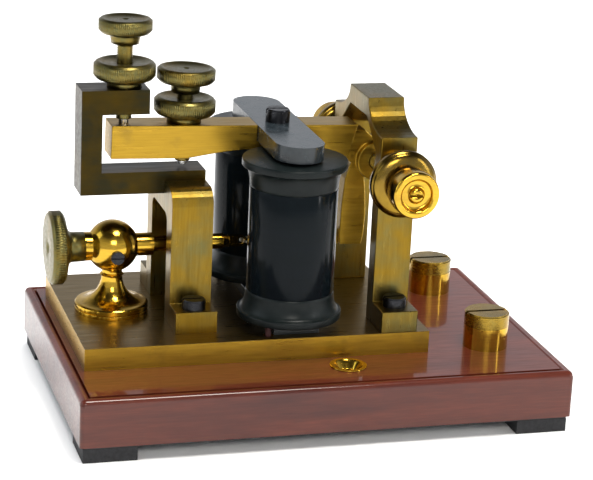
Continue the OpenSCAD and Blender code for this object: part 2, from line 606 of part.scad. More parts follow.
wood_base();
bottom_cover();
feet();
feet_screws();
bed_plate();
bed_plate_screws();
anvil_bridge();
anvil_bridge_screws();
anvil_frame();
anvil_frame_screws();
pivot_bridge();
pivot_bridge_screws();
front_pivot_screw();
rear_pivot_screw();
front_pivot_lock_nut();
rear_pivot_lock_nut();
front_bobbin();
rear_bobbin();
front_winding();
rear_winding();
front_coil_cover();
rear_coil_cover();
front_core();
rear_core();
yoke();
yoke_screws();
coil_leads();
base_wires();
ball_post();
ball_post_screw();
clamp_screw();
tension_nut();
tension_rod();
tension_spring();
lever();
lever_axle();
armature();
armature_screw();
lever_stop_screw();
lever_stop_tip();
lever_stop_lock_nut();
upper_stop_screw();
upper_stop_tip();
upper_stop_lock_nut();
front_terminal();
rear_terminal();
front_terminal_screw();
rear_terminal_screw();
terminal_nuts();
fixing_ferrule();
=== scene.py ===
"""Looks of a brass telegraph sounder on a mahogany base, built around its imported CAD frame."""
import json
import math

import bmesh
import bpy
from bpy.props import FloatProperty, FloatVectorProperty, IntProperty, PointerProperty
from mathutils import Matrix, Vector


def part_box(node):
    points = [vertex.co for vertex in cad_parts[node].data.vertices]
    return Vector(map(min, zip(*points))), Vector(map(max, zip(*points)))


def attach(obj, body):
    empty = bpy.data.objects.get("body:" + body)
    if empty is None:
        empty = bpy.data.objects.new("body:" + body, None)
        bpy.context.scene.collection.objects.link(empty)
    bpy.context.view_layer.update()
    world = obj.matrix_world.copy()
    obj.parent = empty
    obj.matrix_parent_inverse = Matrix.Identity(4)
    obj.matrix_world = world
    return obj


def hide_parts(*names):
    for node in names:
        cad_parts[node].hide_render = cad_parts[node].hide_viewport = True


bl_info = {
    "name": "Telegraph Sounder",
    "version": (1, 0, 0),
    "blender": (4, 5, 0),
    "location": "View3D > Sidebar > Sounder",
    "description": "Builds the pieces, finishes and studio of a telegraph sounder",
    "category": "Add Mesh",
}

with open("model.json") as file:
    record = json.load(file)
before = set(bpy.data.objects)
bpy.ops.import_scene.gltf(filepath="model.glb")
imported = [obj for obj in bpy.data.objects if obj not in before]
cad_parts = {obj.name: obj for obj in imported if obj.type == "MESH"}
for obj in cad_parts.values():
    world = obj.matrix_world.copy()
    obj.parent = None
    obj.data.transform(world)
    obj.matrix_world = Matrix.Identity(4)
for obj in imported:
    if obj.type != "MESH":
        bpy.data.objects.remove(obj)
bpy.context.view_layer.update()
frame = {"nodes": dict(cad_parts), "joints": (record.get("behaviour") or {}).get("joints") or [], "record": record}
MM = 0.001
X, Y, Z = Vector((1, 0, 0)), Vector((0, 1, 0)), Vector((0, 0, 1))

# Sizes of the turned and wound pieces, in millimetres.
STOP_SHANK_R = 2.4
THREAD_ROOT_R = 2.22
THREAD_PITCH = 0.7
LOCK_NUT_R = 9.1
UPPER_HEAD_R = 7.8
LEVER_HEAD_R = 8.6
CHEEK_RIM = 2.3
CHEEK_COVE = 6.0
CORE_HOLE_R = 4.95
KNOB_THICK = 4.8
HOOK_R = 2.4
HOOK_LEAD = 1.5
HOOK_REACH = 0.9
WIRE_SIDES = 10
# Where the head of the upper stop screw starts, above the floor.
UPPER_HEAD_FOOT = 109.4
# The lever's stop screw and nut: the place along the bar and the heights square to it, from the pivot.
LEVER_STOP_X = -60.6
LEVER_SCREW_FOOT = -0.15
LEVER_NUT_SEAT = 11.75
LEVER_HEAD_FOOT = 20.9
LEVER_HEAD_TOP = 28.6
# The pivot screws and nuts, outwards along the axle from the pivot, and the turn of the slots in degrees.
PIVOT_TIP = 14
PIVOT_NUT_SEAT = 24.25
PIVOT_HEAD = 36
PIVOT_FACE = 44
PIVOT_SLOT_ANGLE = 35
# Widths to which the edges of the bigger pieces are broken.
WOOD_EDGE = 0.35 * MM
CASTING_EDGE = 0.3 * MM
FINE_EDGE = 0.15 * MM
FERRULE_EDGE = 0.12 * MM

# The stage, in metres and degrees.
CAMERA_PLACE = (-0.18061, -0.61176, 0.2478)
CAMERA_YAW_PITCH_ROLL = (16.55, 17.39, 2.71)
LIGHT_TARGET = (0, 0, 0.06)

BEVEL_SEGMENTS = 2
BEVEL_ANGLE = 35


# ---- settings ----
class SounderSizes(bpy.types.PropertyGroup):
    """Sizes of the small details that the looks add"""
    turn_steps: IntProperty(name="Turning steps", description="Steps round a turned piece",
                            default=96, min=24)
    knurl_count: IntProperty(name="Knurls", description="Ridges round a knurled rim", default=84, min=24)
    knurl_depth: FloatProperty(name="Knurl depth", description="Depth of a knurl's groove",
                               default=0.22 * MM, subtype="DISTANCE", unit="LENGTH")
    edge_break: FloatProperty(name="Edge break", description="Width of the softened edge on small pieces",
                              default=0.22 * MM, subtype="DISTANCE", unit="LENGTH")
    wire: FloatProperty(name="Spring wire", description="Radius of the tension spring's wire",
                        default=0.42 * MM, subtype="DISTANCE", unit="LENGTH")
    spring_turns: IntProperty(name="Spring turns", description="Turns of the tension spring",
                              default=18, min=4)
    lens: FloatProperty(name="Lens", description="Focal length of the camera", default=131.67, unit="CAMERA")


def colour(label, text, value):
    """A colour setting with its label, description and default."""
    return FloatVectorProperty(name=label, description=text, default=value, size=3, subtype="COLOR",
                               min=0, max=1)


class SounderColours(bpy.types.PropertyGroup):
    """Colours of the finishes"""
    brass: colour("Brass", "Polished and lacquered brass", (0.47, 0.285, 0.032))
    # The dull colour: real patina in the random tarnish clouds, and painted shade over the whole top face of the
    # bed plate.
    patina: colour("Patina", "Brass that has gone dull and brown", (0.13, 0.088, 0.028))
    olive: colour("Olive patina", "Greenish tarnish on the knurled screws", (0.12, 0.112, 0.042))
    aged: colour("Aged brass", "Dark brass of the anvil frame", (0.022, 0.020, 0.010))
    wood_dark: colour("Dark grain", "Dark streaks of the mahogany", (0.045, 0.009, 0.006))
    wood_light: colour("Light grain", "Light streaks of the mahogany", (0.112, 0.022, 0.011))
    ebonite: colour("Ebonite", "Coil cheeks", (0.004, 0.006, 0.006))
    wrap: colour("Coil wrap", "Glossy cover of the coils", (0.003, 0.005, 0.006))
    iron: colour("Black iron", "Armature and yoke", (0.008, 0.011, 0.013))
    lead: colour("Lead", "Covering of the wires", (0.045, 0.005, 0.005))
    floor: colour("Floor", "Floor of the studio", (0.93, 0.93, 0.93))


def sizes():
    """The sizes set in the panel."""
    return bpy.context.scene.sounder_sizes


def colours():
    """The colours set in the panel."""
    return bpy.context.scene.sounder_colours


def tint(tone, factor):
    """A colour made lighter or darker."""
    return [c * factor for c in tone]


# ---- materials ----
class Finish:
    """A node material under construction, with Object coordinates in millimetres."""

    def __init__(self, name):
        self.material = bpy.data.materials.new(name)
        self.material.use_nodes = True
        self.nodes = self.material.node_tree.nodes
        self.links = self.material.node_tree.links
        self.shader = self.nodes["Principled BSDF"]
        self.place = self.nodes.new("ShaderNodeTexCoord").outputs["Object"]

    def set(self, **sockets):
        """Sets the shader's own sockets, with _ for a space."""
        for name, value in sockets.items():
            self.shader.inputs[name.replace("_", " ")].default_value = value

    def mapped(self, scale):
        """The coordinates, scaled to so many repeats a millimetre."""
        node = self.nodes.new("ShaderNodeMapping")
        node.inputs["Scale"].default_value = [s / MM for s in scale]
        self.links.new(self.place, node.inputs["Vector"])
        return node.outputs["Vector"]

    def noise(self, scale, detail=4, rough=0.55, distortion=0):
        """A noise with that many features a millimetre along each axis."""
        node = self.nodes.new("ShaderNodeTexNoise")
        node.inputs["Scale"].default_value = 1
        node.inputs["Detail"].default_value = detail
        node.inputs["Roughness"].default_value = rough
        node.inputs["Distortion"].default_value = distortion
        self.links.new(self.mapped(scale), node.inputs["Vector"])
        return node.outputs["Fac"]

    def ramp(self, source, stops):
        """A ramp from (position, grey or colour) stops."""
        node = self.nodes.new("ShaderNodeValToRGB")
        ends = node.color_ramp.elements
        while len(ends) < len(stops):
            ends.new(0.5)
        for end, (place, value) in zip(ends, stops):
            end.position = place
            end.color = (*value, 1) if hasattr(value, "__len__") else (value, value, value, 1)
        self.links.new(source, node.inputs["Fac"])
        return node.outputs["Color"]

    def mix(self, factor, a, b):
        """A blend from a to b; each is a colour or a socket."""
        node = self.nodes.new("ShaderNodeMix")
        node.data_type = "RGBA"
        sockets = [s for s in node.inputs if s.type == "RGBA"]
        for socket, value in zip(sockets, (a, b)):
            if isinstance(value, bpy.types.NodeSocket):
                self.links.new(value, socket)
            else:
                socket.default_value = (*value, 1)
        self.links.new(factor, node.inputs["Factor"])
        return [s for s in node.outputs if s.type == "RGBA"][0]

    def above(self, height):
        """0 below a height in millimetres and 0.85 above it: the mask of painted shade over a top face."""
        split = self.nodes.new("ShaderNodeSeparateXYZ")
        self.links.new(self.place, split.inputs["Vector"])
        step = self.nodes.new("ShaderNodeMapRange")
        step.inputs["From Min"].default_value = (height - 0.1) * MM
        step.inputs["From Max"].default_value = height * MM
        step.inputs["To Max"].default_value = 0.85
        self.links.new(split.outputs["Z"], step.inputs["Value"])
        return step.outputs["Result"]

    def larger(self, a, b):
        """The larger of two values."""
        node = self.nodes.new("ShaderNodeMath")
        node.operation = "MAXIMUM"
        self.links.new(a, node.inputs[0])
        self.links.new(b, node.inputs[1])
        return node.outputs["Value"]

    def bump(self, source, strength, distance=0.02):
        """Relief from a source, its depth in millimetres."""
        node = self.nodes.new("ShaderNodeBump")
        node.inputs["Strength"].default_value = strength
        node.inputs["Distance"].default_value = distance * MM
        self.links.new(source, node.inputs["Height"])
        self.links.new(node.outputs["Normal"], self.shader.inputs["Normal"])

    def to(self, socket, source):
        """Feeds a socket of the shader."""
        self.links.new(source, self.shader.inputs[socket])
        return self


FINISHES = {}


def finish(name):
    """The finished material of that name, made once."""
    if name not in FINISHES:
        FINISHES[name] = MAKERS[name]()
    return FINISHES[name]


def brass(name, bright, dull, tarnish, rough, brushed, scratch, painted_shade_above=None):
    """Brass: tarnish is how much is dull, rough its roughness range, brushed the scale of its marks.
    Everything above the height given last, in millimetres, is left dull as painted shade on a top face."""
    f = Finish(name)
    f.set(Metallic=1.0)
    start = 0.62 - tarnish * 0.5
    tarnish_and_shade = f.ramp(f.noise((0.09, 0.09, 0.09), 6), [(start, 0.0), (start + 0.30, 1.0)])
    # The mask above that height paints shade over the top face with the dull colour.
    if painted_shade_above is not None:
        tarnish_and_shade = f.larger(tarnish_and_shade, f.above(painted_shade_above))
    base = f.mix(tarnish_and_shade, bright, dull)
    lined = f.noise(brushed, 3)
    streaks = f.ramp(lined, [(0.35, 0.0), (0.75, 0.55)])
    f.to("Base Color", f.mix(streaks, base, tint(bright, 0.62)))
    f.to("Roughness", f.ramp(f.noise([s * 0.7 for s in brushed], 3), [(0.3, rough[0]), (0.75, rough[1])]))
    f.bump(lined, scratch)
    return f.material


def polished_brass():
    return brass("polished_brass", tint(colours().brass, 1.25), colours().patina, tarnish=0.15,
                 rough=(0.10, 0.22), brushed=(0.5, 0.5, 2.5), scratch=0.06)


def nut_brass():
    return brass("nut_brass", tint(colours().brass, 0.62), colours().patina, tarnish=0.5,
                 rough=(0.14, 0.28), brushed=(0.5, 0.5, 0.5), scratch=0.05)


def lever_brass():
    return brass("lever_brass", tint(colours().brass, 0.82), colours().patina, tarnish=0.1,
                 rough=(0.26, 0.42), brushed=(0.10, 1.8, 1.8), scratch=0.12)


def plate_brass():
    # The plate's top face is painted dull as painted shade, darker than its bright front edge.
    return brass("plate_brass", colours().brass, colours().patina, tarnish=0.1,
                 rough=(0.26, 0.42), brushed=(0.10, 1.6, 1.6), scratch=0.1,
                 painted_shade_above=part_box("bed_plate")[1][2] / MM - 0.1)


def bridge_brass():
    return brass("bridge_brass", tint(colours().brass, 0.45), colours().olive, tarnish=0.5,
                 rough=(0.26, 0.42), brushed=(1.6, 1.6, 0.12), scratch=0.12)


def knurled_brass():
    return brass("knurled_brass", tint(colours().brass, 0.6), colours().olive, tarnish=0.85,
                 rough=(0.26, 0.45), brushed=(1.2, 1.2, 1.2), scratch=0.15)


def terminal_brass():
    return brass("terminal_brass", tint(colours().brass, 0.85), colours().olive, tarnish=0.4,
                 rough=(0.18, 0.36), brushed=(0.6, 0.6, 2), scratch=0.08)


def aged_brass():
    return brass("aged_brass", tint(colours().brass, 0.12), colours().aged, tarnish=0.7,
                 rough=(0.30, 0.48), brushed=(0.12, 1.6, 1.6), scratch=0.12)


def mahogany():
    f = Finish("mahogany")
    f.set(Specular_IOR_Level=0.1, Coat_Weight=0.58, Coat_Roughness=0.05)
    figure = f.noise((0.012, 0.10, 0.10), 5, 0.6, 0.6)
    pores = f.noise((0.10, 1.6, 1.6), 3, 0.6)
    base = f.ramp(figure, [(0.30, colours().wood_dark), (0.52, tint(colours().wood_light, 0.75)),
                           (0.72, colours().wood_light)])
    streaks = f.ramp(pores, [(0.44, 0.30), (0.60, 0.0)])
    f.to("Base Color", f.mix(streaks, base, tint(colours().wood_dark, 0.7)))
    f.to("Roughness", f.ramp(pores, [(0.3, 0.42), (0.7, 0.28)]))
    f.bump(pores, 0.06)
    return f.material


def ebonite():
    f = Finish("ebonite")
    f.set(Specular_IOR_Level=0.14)
    dust = f.noise((0.15, 0.15, 0.15), 6)
    f.to("Base Color", f.ramp(dust, [(0.35, colours().ebonite), (0.8, (0.009, 0.012, 0.012))]))
    f.to("Roughness", f.ramp(dust, [(0.3, 0.26), (0.75, 0.46)]))
    f.bump(f.noise((0.4, 0.4, 6), 2), 0.10)
    return f.material


def coil_wrap():
    f = Finish("coil_wrap")
    f.set(Specular_IOR_Level=0.08)
    layers = f.noise((0.05, 0.05, 0.9), 3)
    f.to("Base Color", f.ramp(layers, [(0.3, colours().wrap), (0.8, (0.004, 0.006, 0.008))]))
    f.to("Roughness", f.ramp(layers, [(0.3, 0.10), (0.8, 0.20)]))
    f.bump(layers, 0.04, 0.04)
    return f.material


def black_iron():
    f = Finish("black_iron")
    f.set(Specular_IOR_Level=0.4)
    mottle = f.noise((0.25, 0.25, 0.25), 5)
    f.to("Base Color", f.ramp(mottle, [(0.3, colours().iron), (0.8, (0.024, 0.032, 0.037))]))
    f.to("Roughness", f.ramp(mottle, [(0.3, 0.16), (0.8, 0.34)]))
    f.bump(f.noise((1.2, 1.2, 1.2), 3), 0.05)
    return f.material


def metal(name, tone, rough):
    """A plain grained metal; rough is its lowest roughness."""
    f = Finish(name)
    f.set(Metallic=1.0)
    grain = f.noise((1.5, 1.5, 1.5))
    f.to("Base Color", f.ramp(grain, [(0.3, tone), (0.8, tint(tone, 0.65))]))
    f.to("Roughness", f.ramp(grain, [(0.3, rough), (0.8, rough + 0.18)]))
    f.bump(grain, 0.10)
    return f.material


def blued_steel():
    return metal("blued_steel", (0.035, 0.036, 0.040), 0.25)


def steel():
    return metal("steel", (0.55, 0.55, 0.53), 0.22)


def soft_iron():
    return metal("soft_iron", (0.30, 0.30, 0.29), 0.35)


def spring_wire():
    return metal("spring_wire", (0.45, 0.42, 0.34), 0.22)


def rubber():
    f = Finish("rubber")
    f.set(Specular_IOR_Level=0.25)
    grain = f.noise((0.9, 0.9, 0.9), 5)
    f.to("Base Color", f.ramp(grain, [(0.3, (0.008, 0.008, 0.009)), (0.8, (0.03, 0.03, 0.032))]))
    f.to("Roughness", f.ramp(grain, [(0.3, 0.6), (0.8, 0.8)]))
    f.bump(grain, 0.2)
    return f.material


# Near-black card of the bottom cover: partly a real cover, partly painted shade for the dark gap under the base
# between the feet.
def black_card():
    f = Finish("black_card")
    fibre = f.noise((0.5, 0.5, 2), 4)
    f.to("Base Color", f.ramp(fibre, [(0.3, (0.006, 0.006, 0.007)), (0.8, (0.025, 0.022, 0.022))]))
    f.set(Roughness=0.8)
    f.bump(fibre, 0.2)
    return f.material


def covered_wire():
    f = Finish("covered_wire")
    braid = f.noise((2.5, 2.5, 5), 3)
    f.to("Base Color", f.ramp(braid, [(0.3, colours().lead), (0.8, tint(colours().lead, 0.4))]))
    f.set(Roughness=0.7)
    f.bump(braid, 0.5)
    return f.material


MAKERS = {maker.__name__: maker for maker in (
    polished_brass, nut_brass, lever_brass, plate_brass, bridge_brass, knurled_brass, terminal_brass,
    aged_brass, mahogany, ebonite, coil_wrap, black_iron, blued_steel, steel, soft_iron, spring_wire, rubber,
    black_card, covered_wire)}


# ---- shared making ----
def node_body(node):
    """The body that a CAD node belongs to."""
    return next(name for name, members in frame["record"]["behaviour"]["bodies"].items() if node in members)


def node_slot(node):
    """The material slot of a CAD node."""
    return next(s["material_slot"] for s in frame["record"]["subparts"] if s["node"] == node)


def middle(node):
    """The middle of a CAD node's box."""
    low, high = (Vector(c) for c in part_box(node))
    return (low + high) / 2


def underside(low, high):
    """The middle of a box's underside, in metres, from its corners in millimetres."""
    return Vector(((low.x + high.x) / 2, (low.y + high.y) / 2, low.z)) * MM


def dress(obj, material):
    """Gives an object its one material."""
    obj.data.materials.clear()
    obj.data.materials.append(material)


def soften(obj, width=None):
    """Breaks the sharp edges and keeps the flat faces evenly shaded."""
    bevel = obj.modifiers.new("edge_break", "BEVEL")
    bevel.width = sizes().edge_break if width is None else width
    bevel.segments = BEVEL_SEGMENTS
    bevel.limit_method = "ANGLE"
    bevel.angle_limit = math.radians(BEVEL_ANGLE)
    bevel.use_clamp_overlap = True
    shade = obj.modifiers.new("even_shading", "WEIGHTED_NORMAL")
    shade.keep_sharp = True
    return obj


def keep(node, soft=True, width=None):
    """A CAD node whose shape is right: welded, its edges broken, and finished as its slot says."""
    obj = frame["nodes"][node]
    dress(obj, finish(node_slot(node)))
    if soft:
        weld = obj.modifiers.new("weld", "WELD")
        weld.merge_threshold = 0.002 * MM
        soften(obj, width)
    return obj


def piece(bm, name, node, place=None):
    """Turns a bmesh into a piece that stands for a CAD node and rides on its body."""
    if place is not None:
        bmesh.ops.transform(bm, matrix=place, verts=bm.verts)
    bmesh.ops.recalc_face_normals(bm, faces=bm.faces)
    mesh = bpy.data.meshes.new(name)
    bm.to_mesh(mesh)
    bm.free()
    for face in mesh.polygons:
        face.use_smooth = True
    obj = bpy.data.objects.new(name, mesh)
    bpy.context.scene.collection.objects.link(obj)
    dress(obj, finish(node_slot(node)))
    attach(obj, node_body(node))
    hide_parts(node)
    return obj


def turned(profile, steps=None):
    """A bmesh spun about Z from (radius, height) points in millimetres, in turn_steps or so many steps."""
    bm = bmesh.new()
    chain = [bm.verts.new((r * MM, 0, h * MM)) for r, h in profile]
    edges = [bm.edges.new(pair) for pair in zip(chain, chain[1:])]
    bmesh.ops.spin(bm, geom=chain + edges, axis=Z, cent=(0, 0, 0), angle=math.tau,
                   steps=steps or sizes().turn_steps, use_merge=True)
    bmesh.ops.remove_doubles(bm, verts=bm.verts, dist=0.001 * MM)
    return bm


def knurl(bm, radius):
    """Sinks a panel into each face of the rim at that radius, so that ridges stand between them."""
    rim = [f for f in bm.faces if abs(f.normal.z) < 0.05
           and all(abs(v.co.xy.length - radius * MM) < 0.02 * MM for v in f.verts)]
    bmesh.ops.inset_individual(bm, faces=rim, thickness=0.14 * MM, depth=-sizes().knurl_depth)
    return bm


def slot_cutter(bm, radius, floor, width, depth):
    """Cuts a driver slot along X into the middle boss of a turned head, to depth below floor."""
    half = width / 2 * MM
    for side in (-half, half):
        bmesh.ops.bisect_plane(bm, geom=bm.verts[:] + bm.edges[:] + bm.faces[:],
                               plane_co=(0, side, 0), plane_no=Y, dist=0.0001 * MM)
    sunk = [f for f in bm.faces
            if abs(f.calc_center_median().y) < half and f.calc_center_median().z > floor * MM
            and max(v.co.xy.length for v in f.verts) < radius * MM]
    sunk = [g for g in bmesh.ops.split(bm, geom=sunk)["geom"] if isinstance(g, bmesh.types.BMFace)]
    verts = list({v for f in sunk for v in f.verts})
    edges = [e for e in {e for f in sunk for e in f.edges} if e.is_boundary]
    bmesh.ops.extrude_edge_only(bm, edges=edges)
    for vert in verts:
        vert.co.z = (floor - depth) * MM
    bmesh.ops.remove_doubles(bm, verts=bm.verts, dist=0.0005 * MM)


def along(axis, origin):
    """A transform that lays a turned piece's Z along axis, starting at origin."""
    return Matrix.Translation(origin) @ Z.rotation_difference(Vector(axis)).to_matrix().to_4x4()


def arc(cr, ch, rr, rh, start, end, count):
    """Points on an arc of an ellipse, in millimetres, from its centre, radii and angles in degrees."""
    angles = [math.radians(start + (end - start) * i / count) for i in range(count + 1)]
    return [(cr + rr * math.cos(a), ch + rh * math.sin(a)) for a in angles]


def joint_value(name, key):
    """A joint's axis or place, in metres."""
    return Vector(next(j[key] for j in frame["joints"] if j["name"] == name))


def lever_frame():
    """The lever's own frame: origin at its pivot, Z square to the bar."""
    up = joint_value("lever_stop_lock_turn", "axis")
    pivot = joint_value("lever_pivot", "pos_m")
    return Matrix.Translation(pivot) @ Z.rotation_difference(up).to_matrix().to_4x4()


class Maker:
    """Shared by the operators: an operator is undoable and lives in the 3D view."""
    bl_options = {"REGISTER", "UNDO"}


# ---- operators ----
class SOUNDER_OT_base(Maker, bpy.types.Operator):
    """Finish the mahogany base, its cover, feet and buried fittings"""
    bl_idname = "sounder.base"
    bl_label = "Wooden Base"

    def execute(self, context):
        keep("wood_base", width=WOOD_EDGE)
        # The bottom cover's near-black card is partly painted shade under the base.
        for node in ("bottom_cover", "feet", "feet_screws", "bed_plate_screws", "terminal_nuts"):
            keep(node)
        return {"FINISHED"}


class SOUNDER_OT_plate(Maker, bpy.types.Operator):
    """Finish the brass bed plate, both bridges and the anvil frame with their screws"""
    bl_idname = "sounder.plate"
    bl_label = "Plate and Bridges"

    def execute(self, context):
        keep("bed_plate", width=CASTING_EDGE)
        for node in ("anvil_bridge", "anvil_frame", "pivot_bridge"):
            keep(node, width=CASTING_EDGE)
        for node in ("anvil_bridge_screws", "anvil_frame_screws", "pivot_bridge_screws",
                     "ball_post_screw", "yoke_screws"):
            keep(node)
        return {"FINISHED"}


class SOUNDER_OT_coils(Maker, bpy.types.Operator):
    """Turn the bobbins and covers of the coils, and finish the windings, cores and yoke"""
    bl_idname = "sounder.coils"
    bl_label = "Coils"

    def execute(self, context):
        for end in ("front", "rear"):
            self.bobbin(end)
            self.cover(end)
            keep(f"{end}_winding", soft=False)
            keep(f"{end}_core")
        keep("yoke", width=CASTING_EDGE)
        return {"FINISHED"}

    def bobbin(self, end):
        low, high = (Vector(c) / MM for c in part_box(f"{end}_bobbin"))
        height = high.z - low.z
        cheek = (high.x - low.x) / 2
        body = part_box(f"{end}_coil_cover")[1][0] / MM - (low.x + high.x) / 2
        shoulder = CHEEK_RIM + CHEEK_COVE
        lower = [(CORE_HOLE_R, 0), (cheek - 0.5, 0)] + arc(cheek - 0.5, 0.5, 0.5, 0.5, -90, 0, 3)
        lower += arc(cheek - 0.35, CHEEK_RIM - 0.35, 0.35, 0.35, 0, 90, 3)
        lower += arc(cheek - 0.4, shoulder, cheek - 0.4 - body, CHEEK_COVE, 270, 180, 12)
        lower += [(body - 0.8, shoulder + 0.4)]
        bm = turned(lower + [(r, height - h) for r, h in reversed(lower)])
        piece(bm, f"{end}_bobbin_turned", f"{end}_bobbin", along(Z, underside(low, high)))

    def cover(self, end):
        low, high = (Vector(c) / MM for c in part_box(f"{end}_coil_cover"))
        radius, height = (high.x - low.x) / 2, high.z - low.z
        bm = turned([(radius - 0.5, 0), (radius - 0.1, 0), (radius, 0.25), (radius, height - 0.25),
                     (radius - 0.1, height), (radius - 0.5, height), (radius - 0.5, 0)])
        piece(bm, f"{end}_coil_wrap", f"{end}_coil_cover", along(Z, underside(low, high)))


class SOUNDER_OT_leads(Maker, bpy.types.Operator):
    """Finish the leads that run from the coils down through the plate, and the wires in the base"""
    bl_idname = "sounder.leads"
    bl_label = "Coil Leads"

    def execute(self, context):
        keep("coil_leads", soft=False)
        keep("base_wires", soft=False)
        return {"FINISHED"}


class SOUNDER_OT_lever(Maker, bpy.types.Operator):
    """Finish the lever, its axle, the armature and its screw, and the tips of the stop screws"""
    bl_idname = "sounder.lever"
    bl_label = "Lever and Armature"

    def execute(self, context):
        for node in ("lever", "armature"):
            keep(node, width=CASTING_EDGE)
        for node in ("lever_axle", "armature_screw", "lever_stop_tip", "upper_stop_tip"):
            keep(node)
        return {"FINISHED"}


class SOUNDER_OT_stops(Maker, bpy.types.Operator):
    """Turn the knurled stop screws and their lock nuts"""
    bl_idname = "sounder.stops"
    bl_label = "Stop Screws"

    def execute(self, context):
        upper = middle("upper_stop_screw")
        low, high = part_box("upper_stop_screw")
        nut_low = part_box("upper_stop_lock_nut")[0][2]
        rest = Vector((upper.x, upper.y, 0))
        self.head("upper_stop_screw", UPPER_HEAD_R, low[2] / MM, UPPER_HEAD_FOOT, high[2] / MM,
                  along(Z, rest))
        self.nut("upper_stop_lock_nut", LOCK_NUT_R, along(Z, rest + Z * nut_low))
        place = lever_frame() @ Matrix.Translation((LEVER_STOP_X * MM, 0, 0))
        self.head("lever_stop_screw", LEVER_HEAD_R, LEVER_SCREW_FOOT, LEVER_HEAD_FOOT, LEVER_HEAD_TOP, place)
        self.nut("lever_stop_lock_nut", LOCK_NUT_R,
                 place @ Matrix.Translation((0, 0, LEVER_NUT_SEAT * MM)))
        return {"FINISHED"}

    def head(self, node, radius, foot, neck, top, place):
        """A ringed shank from foot to neck and a knurled head from there to top."""
        h = top - neck
        shank = []
        z = foot
        while z < neck - THREAD_PITCH:
            shank += [(THREAD_ROOT_R, z), (STOP_SHANK_R, z + THREAD_PITCH / 2)]
            z += THREAD_PITCH
        profile = [(0.01, foot - 0.01)] + shank
        profile += [(STOP_SHANK_R, neck), (4.2, neck), (4.45, neck + 0.2 * h), (4.6, neck + 0.3 * h)]
        profile += arc(4.9, neck + 0.48 * h, radius - 5.2, 0.12 * h, 270, 340, 5)
        profile += [(radius - 0.1, neck + 0.50 * h), (radius, neck + 0.53 * h), (radius, neck + 0.93 * h),
                    (radius - 0.4, neck + 0.985 * h), (radius - 0.9, top), (radius - 1.5, top - 0.12),
                    (radius - 2.1, top - 0.5), (1.4, top - 0.42), (0.8, top - 0.5), (0.5, top - 0.9),
                    (0.01, top - 1.0)]
        bm = knurl(turned(profile, sizes().knurl_count), radius)
        piece(bm, f"{node}_turned", node, place)

    def nut(self, node, radius, place):
        """A collar with a knurled rim above it, seated at height 0."""
        profile = [(2.45, 0), (5.2, 0), (5.2, 1.1), (5.35, 1.5)]
        profile += arc(5.6, 3.2, radius - 5.9, 1.3, 270, 340, 5)
        profile += [(radius - 0.1, 3.2), (radius, 3.5), (radius, 6.9), (radius - 0.3, 7.4),
                    (radius - 1.0, 7.8), (radius - 1.8, 7.72), (radius - 2.5, 7.35),
                    (3.4, 7.3), (2.9, 7.1), (2.45, 7.0), (2.45, 0)]
        bm = knurl(turned(profile, sizes().knurl_count), radius)
        piece(bm, f"{node}_turned", node, place)


class SOUNDER_OT_pivots(Maker, bpy.types.Operator):
    """Turn the pivot screws and their domed lock nuts"""
    bl_idname = "sounder.pivots"
    bl_label = "Pivot Screws"

    def execute(self, context):
        pivot = joint_value("lever_pivot", "pos_m")
        for end, way in (("front", -Y), ("rear", Y)):
            place = along(way, pivot)
            self.screw(end, place)
            self.nut(end, place)
        return {"FINISHED"}

    def screw(self, end, place):
        tip, head, face = PIVOT_TIP, PIVOT_HEAD, PIVOT_FACE
        profile = [(0.01, tip + 2.2), (1.36, tip), (1.9, tip), (3.5, tip + 1.6),
                   (3.5, head - 2.2), (4.6, head - 1.4), (5.2, head - 0.6)]
        profile += arc(5.4, head + 1.6, 1.7, 1.8, -90, 0, 6)
        profile += [(7.1, face - 1.6)] + arc(6.3, face - 1.2, 0.8, 1.0, 0, 90, 5)
        profile += arc(5.6, face - 1.2, 0.9, 1.0, 90, 180, 5) + arc(3.5, face - 1.3, 1.2, 0.5, 360, 180, 6)
        profile += arc(1.2, face - 1.2, 1.1, 1.1, 0, 85, 6) + [(0.01, face - 0.05)]
        bm = turned(profile)
        bmesh.ops.rotate(bm, verts=bm.verts, cent=(0, 0, 0),
                         matrix=Matrix.Rotation(math.radians(PIVOT_SLOT_ANGLE), 3, "Z"))
        slot_cutter(bm, 2.3, face - 1.3, 0.9, 0.9)
        piece(bm, f"{end}_pivot_screw_turned", f"{end}_pivot_screw", place)

    def nut(self, end, place):
        seat = PIVOT_NUT_SEAT
        profile = [(3.55, seat), (7, seat), (7, seat + 1.2)] + arc(9.6, seat + 1.2, 2.6, 3.6, 180, 90, 6)
        profile += [(10.1, seat + 5), (10.3, seat + 5.3), (10.3, seat + 7.0), (10.1, seat + 7.3)]
        profile += arc(4.6, seat + 7.3, 5.2, 2.0, 5, 85, 10) + [(3.55, seat + 9.35), (3.55, seat)]
        piece(turned(profile), f"{end}_pivot_lock_nut_turned", f"{end}_pivot_lock_nut", place)


